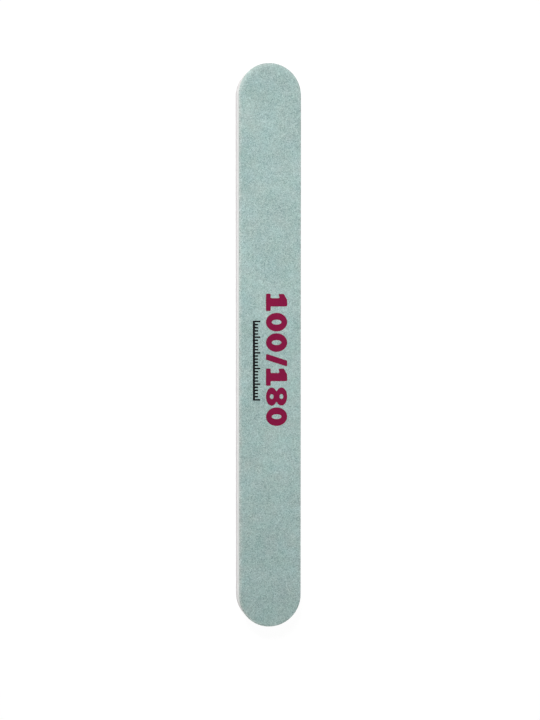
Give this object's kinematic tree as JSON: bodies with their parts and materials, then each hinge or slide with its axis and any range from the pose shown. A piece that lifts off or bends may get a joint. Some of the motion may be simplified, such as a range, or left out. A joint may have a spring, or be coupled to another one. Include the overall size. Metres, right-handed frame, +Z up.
{
  "type": "nail buffer",
  "caption": "Straight double-sided nail buffer board with half-round ends: abrasive paper bonded over soft foam on both sides of a stiff plastic core.",
  "frame": {"origin": "middle of the rear abrasive face, which the board lies on", "axes": "+Y along the board's length, +X across its width, +Z up through the stack out of the front abrasive face"},
  "size_m": [0.02, 0.18, 0.0071],
  "materials": {
    "grit_coat": "matte",
    "backing_paper": "matte",
    "adhesive": "satin",
    "foam": "matte",
    "core_plastic": "satin",
    "magenta_ink": "matte",
    "black_ink": "matte"
  },
  "bodies": {
    "root": {"rear_grit_coat": "grit_coat", "rear_backing_paper": "backing_paper", "rear_paper_adhesive": "adhesive", "rear_foam_layer": "foam", "rear_core_adhesive": "adhesive", "core_strip": "core_plastic", "front_core_adhesive": "adhesive", "front_foam_layer": "foam", "front_paper_adhesive": "adhesive", "front_backing_paper": "backing_paper", "front_grit_coat": "grit_coat"}
  },
  "joints": []
}
